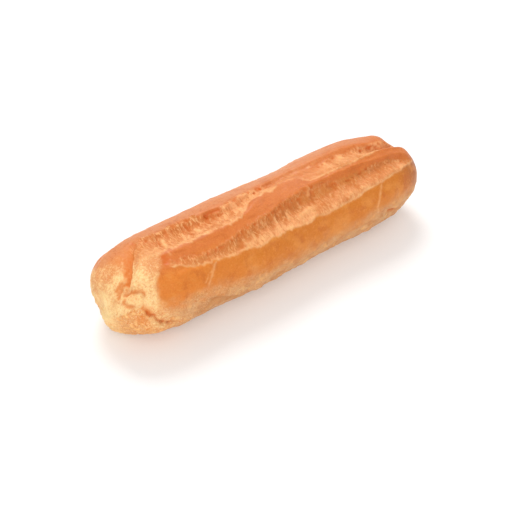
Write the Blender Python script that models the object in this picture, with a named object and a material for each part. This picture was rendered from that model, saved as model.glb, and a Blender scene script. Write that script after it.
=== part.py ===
"""A plain baked eclair shell: one baton of choux pastry, piped through a star nozzle and baked until
its skin opened along the nozzle's grooves. Metres, +Z up. The baton lies along X on its flat base,
with its folded start at -X, and the origin is under its middle."""

import bpy
import numpy as np
from mathutils import Vector, noise

MM = 0.001

# The baton without its relief
LENGTH = 140 * MM
BELLY_SHARE = 0.47  # height of the widest line, as a share of the height
TOP_POWER = 2.15  # 2 is an ellipse, and more is squarer
UNDER_CUT = 3.0 * MM  # what the flat base takes off the rounded underside
UNDER_POWER = (1.97, 2.6)  # of the front and of the back
UNDER_INSET = (0.34, 0.2)  # how far the underside draws in below the belly, front and back

# How bluntly the sides, the top and the underside end, at the near and at the far tip
BLUNT_SIDES = (11, 6.5)
BLUNT_TOP = (3.3, 3.2)
BLUNT_UNDER = (7.6, 9.8)

# Width, height and sideways sway at stations along the baton
BODY_AT = np.array([-63, -47, -31, -15, 0, 15, 31, 47, 63]) * MM
WIDTH = np.array([39.0, 38.4, 37.8, 38.6, 38.0, 36.9, 37.1, 37.6, 36.8]) * MM
HEIGHT = np.array([37.2, 35.3, 33.7, 33.4, 32.6, 32.4, 34.1, 36.1, 38.0]) * MM
SWAY = np.array([0.1, -0.4, 0.1, -0.1, 0.2, 0.8, 1.0, 0.3, -0.7]) * MM

# The three furrows that opened in the oven: their two edges, in degrees up from the front,
# and their depth, at stations along the baton
FURROW_AT = np.array([-70, -66, -61, -55, -49, -44, -30, -15, 0, 15, 30, 45, 58, 63, 66]) * MM
FURROWS = {
    "front": {
        "low": [50, 52, 53, 52, 47, 41, 37, 33, 34, 32, 36, 40, 42.5, 44, 46],
        "high": [58, 60, 60, 60, 58, 53, 51, 58, 65, 71, 68, 66, 65, 62, 60],
        "depth": [0, 0, 0, 0, 0.1, 0.3, 0.7, 1.2, 2.1, 2.6, 2.5, 2.1, 1.0, 0.4, 0],
    },
    "top": {
        "low": [54, 60, 71, 85, 75, 73, 71, 74, 89, 91, 78, 77, 79, 78, 76],
        "high": [64, 72, 85, 99, 104, 102, 102, 98, 104, 106, 103, 98, 92, 96, 100],
        "depth": [0, 0, 0, 0.3, 1.3, 2.2, 2.6, 2.2, 1.3, 0.9, 1.5, 2.1, 2.9, 0.9, 0],
    },
    "back": {
        "low": [124, 128, 132, 134, 134, 133, 130, 132, 135, 137, 136, 131, 126, 123, 120],
        "high": [138, 143, 150, 154, 156, 155, 151, 150, 155, 158, 157, 153, 147, 142, 137],
        "depth": [0, 0.1, 0.6, 1.4, 2.0, 2.2, 2.4, 2.0, 1.8, 2.4, 2.6, 2.3, 1.3, 0.5, 0],
    },
}
STEEP_SIDE = 1.6  # above 1, a furrow is deepest near its upper edge
TROUGH_POWER = 0.7  # below 1, a furrow's floor is flatter and its walls are steeper
EDGE_WANDER = 1.6  # degrees that a furrow's torn edge strays
EDGE_WAVES = (6 * MM, 2.6 * MM)  # the long and the short waves of a torn edge
LIP = 0.35 * MM  # how far the skin curls up beside a furrow
LIP_DEGREES = 2.5
CRAG = 0.6 * MM  # torn crumb on a furrow's floor
CRAG_WAVES = ((2.1 * MM, 6 * MM, 6 * MM), (4 * MM, 4 * MM, 4 * MM))

# The skin elsewhere
SWELL = 0.35 * MM  # slow unevenness of the smooth skin
SWELL_WAVE = (13 * MM, 9 * MM, 9 * MM)
CRINKLE = 0.7 * MM  # creases low on the sides, where the dough stuck to its tray
CRINKLE_WAVE = (4.5 * MM, 7 * MM, 3.2 * MM)
CRINKLE_AT, CRINKLE_REACH = 5 * MM, 4 * MM  # height of the crinkles above the tray, and how far they spread

# Narrow folds in the skin: points in millimetres on the surface, the depth in millimetres at each,
# and the width in millimetres to the left and to the right of the line. A depth below zero raises
# a rim instead.
FOLDS = {
    "crease": (
        [(-52.5, 4.4, 31.6), (-54.7, 2.1, 31.1), (-57.2, -1.3, 30.4), (-59.7, -4.4, 29.2),
         (-62.5, -7.1, 27.2), (-64.2, -8.1, 25.6)],
        [0.5, 1.3, 1.8, 2.0, 1.9, 1.3], (1.2, 3.0),
    ),
    "crease_end": ([(-64.8, -7.9, 25.0), (-66.6, -6.7, 23.4), (-68.0, -5.3, 22.0)], [1.1, 0.8, 0], (1.6, 1.6)),
    "arch": (
        [(-65.7, -8.1, 24.3), (-64.4, -9.9, 24.6), (-63.0, -10.7, 25.3), (-61.7, -11.6, 25.6),
         (-61.3, -12.8, 24.9), (-62.1, -13.3, 23.8), (-62.8, -13.9, 22.4)],
        [0.3, 0.9, 0.9, 1.0, 0.9, 0.5, 0.1], (1.2, 1.2),
    ),
    "under_the_arch": (
        [(-66.9, -9.1, 22.0), (-65.5, -11.1, 22.4), (-63.7, -12.7, 22.9), (-62.4, -13.8, 22.6)],
        [0.3, 0.6, 0.5, 0.2], (1.1, 1.1),
    ),
    "foot": (
        [(-62.8, -14.3, 21.4), (-61.2, -16.2, 19.1), (-59.8, -17.0, 17.1), (-58.3, -17.6, 15.8),
         (-53.6, -18.5, 14.0), (-48.8, -18.3, 11.3)],
        [0.2, 1.5, 2.1, 2.6, 2.5, 0.5], (1.6, 1.6),
    ),
    "foot_rim": (
        [(-68.5, 4.9, 7.5), (-69.4, -0.1, 10.5), (-68.8, -6.3, 14.7), (-66.1, -11.8, 19.6),
         (-62.8, -14.3, 21.8)],
        [-0.7, -1.0, -0.9, -0.8, -0.4], (1.6, 1.6),
    ),
    "side_tuck": (
        [(-39.5, -19.5, 14.6), (-37.0, -19.5, 14.8), (-33.0, -19.3, 13.4)], [0.3, 1.2, 0.4], (1.1, 1.1),
    ),
    "base_tuck": (
        [(-1.0, -18.1, 10.6), (5.8, -17.5, 9.9), (12.3, -17.5, 10.8)], [0.4, 1.0, 0.3], (1.1, 1.1),
    ),
    "far_tuck": (
        [(44.0, -18.3, 14.6), (47.0, -18.3, 14.8), (51.5, -17.5, 12.9)], [0.8, 1.4, 0.4], (1.1, 1.1),
    ),
}

# Soft lumps and hollows: centre on the surface, radius and height
LUMPS = {
    "end_of_the_middle_ridge": ((-58.5, -9.1, 28.3), 5.5, 1.3),
    "tongue": ((-63.6, -11.4, 23.8), 1.7, 0.8),
    "foot": ((-67.5, 0.4, 4.0), 5.5, 2.2),
    "foot_corner": ((-59.5, -15.6, 11.0), 5.0, 1.3),
    "above_the_foot": ((-70.0, 1.9, 14.0), 4.5, -0.7),
    "near_face": ((-68.0, 7.9, 21.0), 6.0, 0.8),
    "triangle": ((-62.6, -15.0, 18.9), 2.2, -0.7),
    "base_near_middle": ((-15.6, -18.0, 9.2), 3.0, 1.5),
    "base_near": ((-46.0, -17.9, 9.2), 4.0, 0.9),
    "base_far": ((37.5, -16.1, 8.9), 3.0, 1.1),
    "base_middle_notch": ((-9.0, -17.7, 9.2), 2.6, -1.2),
    "notch_of_the_back_ridge": ((62.5, -0.1, 28.8), 3.4, -1.2),
    "base_far_notch": ((47.0, -17.5, 11.5), 3.5, -0.8),
    "far_side": ((66.0, -9.1, 20.0), 6.0, 0.7),
    "far_end_of_the_back_ridge": ((59.5, 5.4, 29.8), 4.0, 1.4),
    "beyond_the_back_ridge": ((67.0, 3.9, 24.0), 5.0, -1.2),
    "far_end_of_the_middle_ridge": ((64.0, -4.1, 27.0), 4.0, 0.8),
}

# The mesh: rings across the baton, and columns that follow the furrows' edges
RINGS = 100
NEAR_END = -40 * MM
NEAR_DENSITY = 1.3
EVEN_FROM, EVEN_AT = 65.5 * MM, 69.7 * MM  # the columns spread out evenly between here and the tips
COLUMN_MARKS = [-90, -60, -26, 4, "front low", "front high", "top low", "top high",
                "back low", "back high", 176, 206, 240, 270]
COLUMN_FACES = [2, 3, 6, 8, 8, 4, 6, 4, 5, 4, 3, 2, 2]

CRUST_COLOUR = (0.68, 0.30, 0.085, 1)
CRUST_ROUGHNESS = 0.55


def through(stations, values, at):
    """A smooth curve through the values at the stations, read at any places."""
    stations, values = np.asarray(stations, float), np.asarray(values, float)
    slopes = np.gradient(values, stations)
    left = np.clip(np.searchsorted(stations, at) - 1, 0, len(stations) - 2)
    span = stations[left + 1] - stations[left]
    t = np.clip((at - stations[left]) / span, 0, 1)
    rise = values[left + 1] - values[left]
    ease = t * t * (3 - 2 * t)
    return (values[left] + rise * ease
            + span * t * (1 - t) * ((1 - t) * slopes[left] - t * slopes[left + 1]))


def rough(points, wave, seed):
    """Noise from -1 to 1 at each point, with its own wavelength along each axis."""
    scaled = points / np.array(wave) + seed
    flat = [noise.noise(Vector(p)) for p in scaled.reshape(-1, 3)]
    return np.array(flat).reshape(points.shape[:-1])


def blunt(x, powers):
    """The round-off towards the tips, from 1 along the body to 0 at a tip."""
    share = np.clip(np.abs(x) / (LENGTH / 2), 0, 1)
    return np.sqrt(1 - share ** np.where(x < 0, *powers))


def ring_places():
    """X of each ring, evenly spaced along the skin from tip to tip and closer at the near end."""
    x = -LENGTH / 2 * np.cos(np.linspace(0, np.pi, 4001))
    radius = WIDTH.mean() / 2 * blunt(x, BLUNT_SIDES)
    step = np.hypot(np.diff(x), np.diff(radius)) * np.where(x[1:] < NEAR_END, NEAR_DENSITY, 1)
    walked = np.concatenate([[0], np.cumsum(step)])
    wanted = (np.arange(RINGS) + 0.5) / RINGS * walked[-1]
    return np.interp(wanted, walked, x)


def furrow_edge(furrow, side, x):
    """The angle of a furrow's edge, with the wander of a tear."""
    seed = 7.3 * list(FURROWS).index(furrow) + (3.1 if side == "high" else 0)
    line = np.stack([x, np.full_like(x, seed), np.zeros_like(x)], axis=-1)
    long_wave, short_wave = EDGE_WAVES
    wander = rough(line, (long_wave, 1, 1), seed=0.5) + 0.6 * rough(line, (short_wave, 1, 1), seed=9.5)
    return through(FURROW_AT, FURROWS[furrow][side], x) + EDGE_WANDER * wander


def column_angles(x, edges):
    """For each ring, the angle of every column. The columns bunch where the furrows are."""
    marks = []
    for mark in COLUMN_MARKS:
        marks.append(np.full_like(x, mark) if isinstance(mark, int) else edges[mark])
    columns = []
    for start, end, faces in zip(marks, marks[1:], COLUMN_FACES):
        for k in range(faces):
            columns.append(start + (end - start) * k / faces)
    bunched = np.stack(columns, axis=-1)
    even = np.linspace(COLUMN_MARKS[0], COLUMN_MARKS[-1], len(columns), endpoint=False)
    share = np.clip((np.abs(x) - EVEN_FROM) / (EVEN_AT - EVEN_FROM), 0, 1)[:, None]
    return bunched + (even - bunched) * share


def smooth_body(x, degrees):
    """The baton before its relief. Angle 0 is the front, 90 the top and -90 the underside."""
    half = through(BODY_AT, WIDTH, x) / 2
    height = through(BODY_AT, HEIGHT, x)
    belly = BELLY_SHARE * height
    turn = np.radians(degrees)
    across, up = np.cos(turn), np.sin(turn)
    above = up >= 0
    shape = 2 / np.where(above, TOP_POWER, np.where(across > 0, *UNDER_POWER))
    inset = np.where(above, 0, up**2 * np.where(across > 0, *UNDER_INSET))
    across = np.sign(across) * np.abs(across) ** shape
    reach = np.where(above, (height - belly) * blunt(x, BLUNT_TOP),
                     (belly + UNDER_CUT) * blunt(x, BLUNT_UNDER))
    rise = reach * np.sign(up) * np.abs(up) ** shape
    y = through(BODY_AT, SWAY, x) - half * blunt(x, BLUNT_SIDES) * across * (1 - inset)
    return np.stack([np.broadcast_to(x, y.shape), y, np.maximum(belly + rise, 0)], axis=-1)


def outward(points):
    """The unit normal at each point of the grid of rings and columns."""
    along = np.gradient(points, axis=0)
    wrapped = np.concatenate([points[:, -1:], points, points[:, :1]], axis=1)
    round_it = (wrapped[:, 2:] - wrapped[:, :-2]) / 2
    normal = np.cross(along, round_it)
    return normal / np.maximum(np.linalg.norm(normal, axis=-1, keepdims=True), 1e-12)


def furrow_relief(x, degrees, edges, points):
    """The three troughs with their curled lips, and the torn crumb on their floors."""
    relief = np.zeros_like(degrees)
    crag = CRAG * sum(rough(points, wave, seed=20 + k) for k, wave in enumerate(CRAG_WAVES))
    for name, furrow in FURROWS.items():
        low, high = edges[name + " low"], edges[name + " high"]
        share = np.clip((degrees - low) / (high - low), 0, 1)
        depth = through(FURROW_AT, furrow["depth"], x) * MM
        opened = np.clip(depth / MM, 0, 1)
        relief -= depth * np.sin(np.pi * share**STEEP_SIDE) ** TROUGH_POWER
        relief += np.where((share > 0) & (share < 1), crag * opened, 0)
        for edge in (low, high):
            relief += LIP * opened * np.exp(-(((degrees - edge) / LIP_DEGREES) ** 2))
    return relief


def skin_relief(points):
    """The slow swell of the smooth skin, and crinkles low on the sides."""
    swell = SWELL * rough(points, SWELL_WAVE, seed=3)
    low_down = np.exp(-(((points[..., 2] - CRINKLE_AT) / CRINKLE_REACH) ** 2))
    return swell + CRINKLE * rough(points, CRINKLE_WAVE, seed=12) * low_down


def fold_relief(points, normals):
    """Narrow grooves and rims along the named folds."""
    relief = np.zeros(points.shape[:-1])
    for path, depths, (left_width, right_width) in FOLDS.values():
        path = np.array(path) * MM
        nearest = np.full_like(relief, np.inf)
        fold = np.zeros_like(relief)
        for a, b, deep_a, deep_b in zip(path, path[1:], depths, depths[1:]):
            share = np.clip(((points - a) @ (b - a)) / ((b - a) @ (b - a)), 0, 1)
            offset = points - a - share[..., None] * (b - a)
            away = np.linalg.norm(offset, axis=-1)
            on_left = (offset * np.cross(normals, b - a)).sum(axis=-1) > 0
            width = np.where(on_left, left_width, right_width) * MM
            deep = (deep_a + (deep_b - deep_a) * share) * MM
            here = away < nearest
            nearest = np.where(here, away, nearest)
            fold = np.where(here, deep * np.exp(-((away / width) ** 2)), fold)
        relief -= fold
    return relief


def lump_relief(points):
    """The soft lumps and hollows."""
    relief = np.zeros(points.shape[:-1])
    for centre, radius, height in LUMPS.values():
        away = np.linalg.norm(points - np.array(centre) * MM, axis=-1)
        relief += height * MM * np.exp(-((away / (radius * MM)) ** 2))
    return relief


def baton_points():
    """The finished surface as a grid of rings and columns, centred on the origin."""
    x = ring_places()
    edges = {f"{name} {side}": furrow_edge(name, side, x) for name in FURROWS for side in ("low", "high")}
    degrees = column_angles(x, edges)
    x = x[:, None]
    edges = {mark: angle[:, None] for mark, angle in edges.items()}
    points = smooth_body(x, degrees)
    normals = outward(points)
    relief = (furrow_relief(x, degrees, edges, points) + skin_relief(points)
              + fold_relief(points, normals) + lump_relief(points))
    on_base = points[..., 2] <= 0
    points = points + np.where(on_base, 0, relief)[..., None] * normals
    points[..., 2] = np.where(on_base, 0, np.maximum(points[..., 2], 0))
    lowest, highest = points.min(axis=(0, 1)), points.max(axis=(0, 1))
    print("centred by", np.round((lowest + highest)[:2] / 2 / MM, 3), "mm")
    points[..., :2] -= (lowest + highest)[:2] / 2
    return points


def loft(points):
    """Vertices and faces of a closed skin over the rings, with a fan at each tip."""
    rings, columns, _ = points.shape
    tips = [points[0].mean(axis=0), points[-1].mean(axis=0)]
    vertices = [tuple(p) for p in points.reshape(-1, 3)] + [tuple(tip) for tip in tips]
    near_tip, far_tip = rings * columns, rings * columns + 1
    faces = []
    for k in range(columns):
        after = (k + 1) % columns
        faces.append((near_tip, k, after))
        for ring in range(rings - 1):
            here, there = ring * columns, (ring + 1) * columns
            faces.append((here + k, there + k, there + after, here + after))
        last = (rings - 1) * columns
        faces.append((far_tip, last + after, last + k))
    return vertices, faces


def crust_material():
    material = bpy.data.materials.new("baked_crust")
    material.use_nodes = True
    shader = material.node_tree.nodes["Principled BSDF"]
    shader.inputs["Base Color"].default_value = CRUST_COLOUR
    shader.inputs["Roughness"].default_value = CRUST_ROUGHNESS
    shader.inputs["Metallic"].default_value = 0
    return material


def clear_scene():
    for thing in list(bpy.data.objects):
        bpy.data.objects.remove(thing, do_unlink=True)


def main():
    clear_scene()
    mesh = bpy.data.meshes.new("eclair")
    vertices, faces = loft(baton_points())
    mesh.from_pydata(vertices, [], faces)
    mesh.validate()
    mesh.materials.append(crust_material())
    mesh.shade_smooth()
    baton = bpy.data.objects.new("eclair", mesh)
    bpy.context.scene.collection.objects.link(baton)


main()
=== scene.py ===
# %% [markdown]
# # A plain eclair shell
# An eclair shell is a baton of choux pastry, piped through a star nozzle. In the oven the grooves that
# the nozzle left tear open, so smooth brown ridges stand between pale, stringy furrows. The end where
# the piping began stays folded and creamy, and the foot that touched the tray stays pale.
#
# The solid that comes with the frame already has the baton's form. This lesson gives it what an oven
# gives: fine relief that is pushed out of a dense copy of it, and a crust whose colour follows how
# strongly each place was baked.

# %% Load the frame
import math
import bpy
import numpy as np
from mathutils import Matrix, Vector, noise


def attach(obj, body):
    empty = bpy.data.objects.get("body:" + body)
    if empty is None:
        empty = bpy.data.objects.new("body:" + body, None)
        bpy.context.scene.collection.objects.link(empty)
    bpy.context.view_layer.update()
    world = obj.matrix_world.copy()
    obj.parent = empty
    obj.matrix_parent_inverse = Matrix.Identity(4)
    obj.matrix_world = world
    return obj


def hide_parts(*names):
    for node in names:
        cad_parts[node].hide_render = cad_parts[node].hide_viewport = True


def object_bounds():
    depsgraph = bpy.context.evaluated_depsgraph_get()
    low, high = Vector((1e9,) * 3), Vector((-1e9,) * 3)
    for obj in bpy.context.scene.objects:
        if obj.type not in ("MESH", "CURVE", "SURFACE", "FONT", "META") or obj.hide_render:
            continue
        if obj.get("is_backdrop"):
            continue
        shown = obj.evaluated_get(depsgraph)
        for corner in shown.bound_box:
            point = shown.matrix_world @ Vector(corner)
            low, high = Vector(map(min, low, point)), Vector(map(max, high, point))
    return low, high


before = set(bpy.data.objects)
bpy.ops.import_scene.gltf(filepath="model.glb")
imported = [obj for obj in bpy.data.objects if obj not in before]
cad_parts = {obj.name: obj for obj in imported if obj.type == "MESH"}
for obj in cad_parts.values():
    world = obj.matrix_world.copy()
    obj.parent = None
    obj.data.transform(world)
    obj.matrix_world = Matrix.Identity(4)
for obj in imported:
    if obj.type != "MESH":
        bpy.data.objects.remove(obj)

MM = 0.001
cad_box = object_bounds()
lowest_corner, highest_corner = ([round(v / MM, 1) for v in corner] for corner in cad_box)
print("solid from", lowest_corner, "to", highest_corner, "mm")

# %% [markdown]
# ## Camera
# The photograph looks down on the eclair from the front left. A long lens far away keeps its two ends
# nearly alike in size, as in a catalogue picture. Azimuth 0 would look straight at the front.

# %% Place the camera
VIEW_AZIMUTH = math.radians(-38.1)
VIEW_ELEVATION = math.radians(38.0)
VIEW_DISTANCE = 550 * MM
AIM = Vector((-2.4, 0.9, 5.1)) * MM
LENS = 104.4  # focal length in millimetres
SENSOR = 36  # its width in millimetres


def direction(azimuth, elevation):
    """The unit vector that points from the object towards a viewer or a lamp."""
    flat = math.cos(elevation)
    return Vector((math.sin(azimuth) * flat, -math.cos(azimuth) * flat, math.sin(elevation)))


viewer = direction(VIEW_AZIMUTH, VIEW_ELEVATION)
viewer_turn = viewer.to_track_quat("Z", "Y").to_euler()
bpy.ops.object.camera_add(location=AIM + viewer * VIEW_DISTANCE, rotation=viewer_turn)
camera = bpy.context.object
camera.data.lens = LENS
camera.data.sensor_width = SENSOR
camera.data.clip_start = 10 * MM
bpy.context.scene.camera = camera
print("camera", round(VIEW_DISTANCE / MM), "mm away with a", LENS, "mm lens")

# %% [markdown]
# ## Floor and light
# The eclair lies on a white sweep in a pale room. A soft lamp high behind it draws the faint shadow
# towards the viewer, and a broad soft one on the viewer's side keeps that shadow light. The floor glows
# a little, as a light table does, and the crust itself tints the shadow rosy. The plain colour
# transform keeps the white floor white.

# %% Lay the floor and hang the lights
FLOOR_SIZE = 4.0
FLOOR_WHITE = (0.758, 0.748, 0.742, 1)
FLOOR_GLOW = 0.19
PAPER_ROUGHNESS = 0.9
ROOM_STRENGTH = 0.7
LAMPS = {  # azimuth and elevation in degrees, size in metres, power in watts
    "lamp_behind": (158, 55, 0.5, 4.6),
    "lamp_in_front": (-40, 35, 0.9, 3.5),
}
LAMP_DISTANCE = 0.9


def white_floor():
    bpy.ops.mesh.primitive_plane_add(size=FLOOR_SIZE, location=(0, 0, 0))
    floor = bpy.context.object
    floor.name = "white_floor"
    paper = bpy.data.materials.new("white_paper")
    paper.use_nodes = True
    finish = paper.node_tree.nodes["Principled BSDF"].inputs
    finish["Base Color"].default_value = FLOOR_WHITE
    finish["Roughness"].default_value = PAPER_ROUGHNESS
    finish["Emission Color"].default_value = (1, 1, 1, 1)
    finish["Emission Strength"].default_value = FLOOR_GLOW
    floor.data.materials.append(paper)
    floor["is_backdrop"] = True


def soft_lamp(name, azimuth, elevation, size, power):
    towards = direction(math.radians(azimuth), math.radians(elevation))
    lamp_turn = towards.to_track_quat("Z", "Y").to_euler()
    bpy.ops.object.light_add(type="AREA", location=towards * LAMP_DISTANCE, rotation=lamp_turn)
    lamp = bpy.context.object
    lamp.name = name
    lamp.data.shape = "DISK"
    lamp.data.size = size
    lamp.data.energy = power


def pale_room():
    world = bpy.data.worlds.new("pale_room")
    world.use_nodes = True
    sky = world.node_tree.nodes["Background"]
    sky.inputs["Color"].default_value = (1, 1, 1, 1)
    sky.inputs["Strength"].default_value = ROOM_STRENGTH
    bpy.context.scene.world = world


white_floor()
for name, (azimuth, elevation, size, power) in LAMPS.items():
    soft_lamp(name, azimuth, elevation, size, power)
pale_room()
bpy.context.scene.view_settings.view_transform = "Standard"
print("floor", FLOOR_SIZE, "m across, lamps:", ", ".join(LAMPS))

# %% [markdown]
# ## A dense copy of the baton
# The solid is made of about eleven thousand triangles, too coarse for torn crumb. A copy of it is
# merged, because an imported mesh has loose corners, its triangles are paired into squares, and a
# Subdivision Surface modifier is applied. Squares subdivide far more evenly than triangles do.

# %% Copy the solid and subdivide it
SUBDIVISIONS = 2
MERGE_DISTANCE = 0.001 * MM
SHARPEST_BEND = math.radians(60)  # between two triangles that are paired
MOST_ASKEW = math.radians(75)  # how far the corners of a pair may be from square


def select_only(piece):
    bpy.ops.object.select_all(action="DESELECT")
    piece.select_set(True)
    bpy.context.view_layer.objects.active = piece


def dense_copy(node, name):
    """A merged copy of a CAD node as squares, subdivided."""
    piece = bpy.data.objects.new(name, node.data.copy())
    bpy.context.scene.collection.objects.link(piece)
    select_only(piece)
    bpy.ops.object.mode_set(mode="EDIT")
    bpy.ops.mesh.select_all(action="SELECT")
    bpy.ops.mesh.remove_doubles(threshold=MERGE_DISTANCE)
    bpy.ops.mesh.tris_convert_to_quads(face_threshold=SHARPEST_BEND, shape_threshold=MOST_ASKEW)
    bpy.ops.object.mode_set(mode="OBJECT")
    smooth = piece.modifiers.new("finer", "SUBSURF")
    smooth.levels = SUBDIVISIONS
    smooth.render_levels = SUBDIVISIONS
    bpy.ops.object.modifier_apply(modifier=smooth.name)
    bpy.ops.object.shade_smooth()
    return piece


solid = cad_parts["eclair"]
shell = dense_copy(solid, "baked_shell")
print("solid:", len(solid.data.polygons), "triangles")
print("dense copy:", len(shell.data.vertices), "points,", len(shell.data.polygons), "faces")

# %% [markdown]
# ## Finding one's way on the baton
# Every place on the crust is told by two numbers, as a pastry cook would point at it: how far along
# the baton, in millimetres from its middle, and how far round it, in degrees. Nought degrees is the
# front, 90 the top and 180 the back. A line along the baton is then a short list of such pairs.

# %% Read each point's place along and around
AXIS_HEIGHT = 16  # of the line that the angles turn about, in millimetres


def read_points(mesh):
    points = np.empty(len(mesh.vertices) * 3)
    mesh.vertices.foreach_get("co", points)
    return points.reshape(-1, 3) / MM


def read_normals(mesh):
    normals = np.empty(len(mesh.vertices) * 3)
    mesh.vertex_normals.foreach_get("vector", normals)
    return normals.reshape(-1, 3)


points = read_points(shell.data)
normals = read_normals(shell.data)
along = points[:, 0]
around = np.degrees(np.arctan2(points[:, 2] - AXIS_HEIGHT, -points[:, 1]))
around = np.where(around < -90, around + 360, around)
reach = np.hypot(points[:, 1], points[:, 2] - AXIS_HEIGHT)
print("points from", round(along.min(), 1), "to", round(along.max(), 1), "mm along")

# %% [markdown]
# ## Small tools for shaping
# A sculptor's tools, as short functions on all points at once. The first ones make an even noise, a
# soft step from one side of a line to the other, and a bell that is highest on a line. Whole arrays
# are worked out in one go, which is far quicker than a loop over ninety thousand points. Only the
# noise is asked for point by point, because Blender gives it no other way.

# %% Make the noise and the soft shapes
NOISE_GAIN = 1.6  # nearly all of the plain noise lies within 0.6 of nought


def rough(wave, seed, where=None):
    """Noise, nearly all from -1 to 1, with its own wavelength in millimetres along each axis."""
    scaled = (points if where is None else where) / np.array(wave) + seed
    return np.array([noise.noise(Vector(p)) for p in scaled]) * NOISE_GAIN


def soft_step(value, width):
    """0 well below nought and 1 well above it, easing over the width."""
    share = np.clip(value / width + 0.5, 0, 1)
    return share * share * (3 - 2 * share)


def bell(value, width):
    """1 at nought, falling to 0 on both sides."""
    return np.exp(-((value / width) ** 2))


def zeros():
    return np.zeros(len(points))


sway = rough((4, 4, 4), 2)  # bends the strands of the torn crumb, further down
print("noise from", round(sway.min(), 2), "to", round(sway.max(), 2))

# %% [markdown]
# ## Lines and paths
# A line runs the length of the baton, and a place is so many millimetres above it. A path is short: a
# list of places on the crust, told as (along, around) pairs or, on the blunt end where angles mean
# little, as x, y and z in millimetres. For each point a path tells how near it is and on which side.
# Curves drawn by hand would do too, but a number in a list is quicker to read and to correct.

# %% Measure from lines and paths


def above(line):
    """Millimetres round the baton from a line, positive towards the back."""
    places, angles = zip(*line)
    return np.radians(around - np.interp(along, places, angles)) * reach


def level(line):
    """A strength that changes along the baton, from (place, strength) pairs."""
    places, strengths = zip(*line)
    return np.interp(along, places, strengths)


def on_crust(place):
    """The point of the crust at an (along, around) pair, or x, y and z as they are."""
    if len(place) == 3:
        return np.array(place, float)
    away = np.hypot(along - place[0], np.radians(around - place[1]) * reach)
    return points[np.argmin(away)]


def near_path(path):
    """Millimetres from each point to a path, the share of the path nearest it, and 1 on its left or -1."""
    nearest = np.full(len(points), np.inf)
    share = zeros()
    side = np.ones(len(points))
    corners = [on_crust(place) for place in path]
    for k, (a, b) in enumerate(zip(corners, corners[1:])):
        t = np.clip((points - a) @ (b - a) / ((b - a) @ (b - a)), 0, 1)
        beside = points - a - t[:, None] * (b - a)
        away = np.linalg.norm(beside, axis=1)
        left = np.sign(np.sum(np.cross(b - a, beside) * normals, axis=1))
        closer = away < nearest
        nearest = np.where(closer, away, nearest)
        share = np.where(closer, (k + t) / (len(corners) - 1), share)
        side = np.where(closer, left, side)
    return nearest, share, side


def path_mask(path, width, strays=0.0):
    """1 on a path, falling to 0 beside it and fading at its two ends."""
    away, share, _ = near_path(path)
    ends = np.clip(np.minimum(share, 1 - share) * 6 + 0.3, 0, 1)
    return bell(np.maximum(away + strays, 0), width) * ends


print("the middle of the top is at", on_crust((0, 90)).round(1), "mm")

# %% [markdown]
# ## The furrows
# Three furrows run along the baton, each between a lower and an upper torn edge, with brown skin
# between them. An edge drawn straight from place to place would look cut with a knife, so it strays by
# three noises, from a long wave to a short one. How torn each point is, and how high it lies up the
# furrow's wall, are kept as masks from 0 to 1, because the relief and the colour both need them.

# %% Trace the edges of the furrows
FRONT_LOW = [(-51, 52.5), (-47, 49), (-45, 46), (-42, 40.5), (-35, 38), (-29, 35.5), (-21, 32.5), (-6, 31),
             (8, 32), (15, 30), (22, 31.5), (31, 31.5), (37, 34.5), (53, 39.5), (66, 43)]
FRONT_HIGH = [(-51, 60), (-44, 54), (-31, 49), (-23, 53), (-12, 57), (-7, 61), (1, 64), (14, 70.5),
              (20, 69.5), (27, 65), (35, 60.5), (47, 61), (53, 58.5), (58.5, 54), (62, 49), (66, 46)]
FRONT_OPEN = [(-49.5, 0), (-47.5, 0.6), (-30, 0.75), (-18, 0.8), (-8, 1), (58, 1), (66, 0.2)]
TOP_LOW = [(-56, 80), (-51, 75), (-46, 73.5), (-42, 70), (-36, 68), (-19, 69.5), (-13.5, 73.5),
           (-10.5, 79), (-7, 87), (3.5, 89), (8, 95), (15, 95), (19, 80), (24, 76), (36, 72.5), (49, 75),
           (57, 80), (62, 86)]
TOP_HIGH = [(-56, 112), (-50, 113), (-46, 108), (-43, 105), (-36, 108), (-31, 108), (-22, 101),
            (-18.5, 98), (-12.5, 103), (-6, 112), (8, 109), (22, 106), (29, 99), (36, 100.5), (47, 98),
            (54, 94.5), (62, 95)]
TOP_OPEN = [(-57, 0), (-54, 0.45), (-46, 0.9), (-44, 1), (-2, 1), (4, 0.8), (8, 0.3), (18, 0.25),
            (23, 0.35), (29, 0.9), (34, 1), (60, 1), (65, 0)]
BACK_LOW = [(-66, 133), (-55, 138), (-44, 138), (-30, 135), (0, 139), (30, 140), (45, 135), (62, 128)]
BACK_HIGH = [(-66, 146), (-55, 154), (-44, 155), (-30, 151), (0, 155), (30, 158), (45, 154), (62, 145)]
BACK_OPEN = [(-64, 0), (-52, 0.8), (50, 0.8), (62, 0)]
FURROWS = [
    (FRONT_LOW, FRONT_HIGH, FRONT_OPEN),
    (TOP_LOW, TOP_HIGH, TOP_OPEN),
    (BACK_LOW, BACK_HIGH, BACK_OPEN),
]
print("furrows:", len(FURROWS), "with", sum(len(low) + len(high) for low, high, _ in FURROWS), "places")

# %% Find the torn crumb
LOW_BLUR, HIGH_BLUR = 0.5, 0.8  # over how many millimetres skin turns to crumb at a furrow's edges
LIP_WIDTH = 0.42  # of the pale lip on the lower edge, in millimetres
EAVES_WIDTH, EAVES_BELOW = 1.0, 0.8  # the shaded strip under the upper edge, in millimetres


def tear(seed):
    """How far a torn edge strays from its line, in millimetres: least towards the far end."""
    strays = 0.7 * rough((7, 60, 60), seed) + 0.5 * rough((2.6, 30, 30), seed + 1)
    return (strays + 0.35 * rough((1.1, 8, 8), seed + 2)) * (1 - 0.6 * soft_step(along - 20, 14))


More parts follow.
